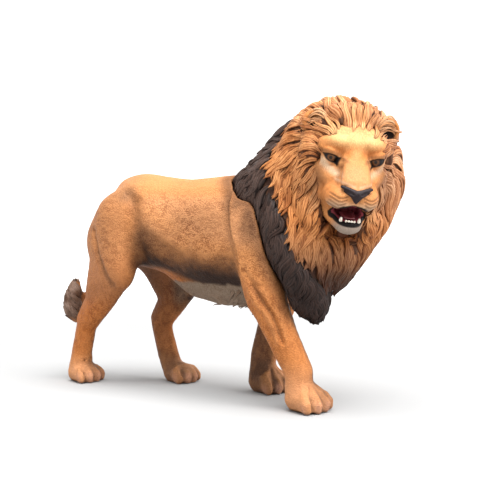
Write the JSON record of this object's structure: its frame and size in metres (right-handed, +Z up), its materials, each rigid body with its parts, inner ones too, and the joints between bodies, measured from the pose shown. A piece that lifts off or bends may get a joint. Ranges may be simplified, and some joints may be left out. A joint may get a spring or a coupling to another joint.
{
  "type": "toy lion figure",
  "caption": "Moulded plastic toy lion figure, walking, with its head turned to its right, its mouth a little open and a full mane.",
  "frame": {"origin": "on the ground under the middle of the figure, at the centre of its bounding box seen from above", "axes": "-Y towards the lion's front, +X towards its left side, +Z up"},
  "size_m": [0.0344, 0.1226, 0.0887],
  "materials": {
    "coat": "moulded short-fur relief in orange-tan plastic, airbrushed pale underneath and dark in the groins, satin",
    "mane": "moulded locks in orange-brown plastic with a dark brown wash in the grooves, satin",
    "dark_mane": "moulded locks painted dark charcoal brown, satin",
    "black": "black paint, slightly glossy",
    "eye": "amber-brown painted iris with a black pupil and rim under gloss varnish",
    "mouth": "dark maroon paint"
  },
  "bodies": {
    "root": {"head": "coat", "jaw": "coat", "trunk": "coat", "fore_leg_left": "coat", "fore_leg_right": "coat", "fore_paw_left": "coat", "fore_paw_right": "coat", "hind_leg_left": "coat", "hind_leg_right": "coat", "hind_paw_left": "coat", "hind_paw_right": "coat", "tail": "coat", "tail_tuft": "mane", "mane_ruff": "mane", "mane_cape": "dark_mane", "ear_left": "mane", "ear_right": "mane", "eye_left": "eye", "eye_right": "eye", "nose": "black", "tongue": "mouth"}
  },
  "joints": []
}
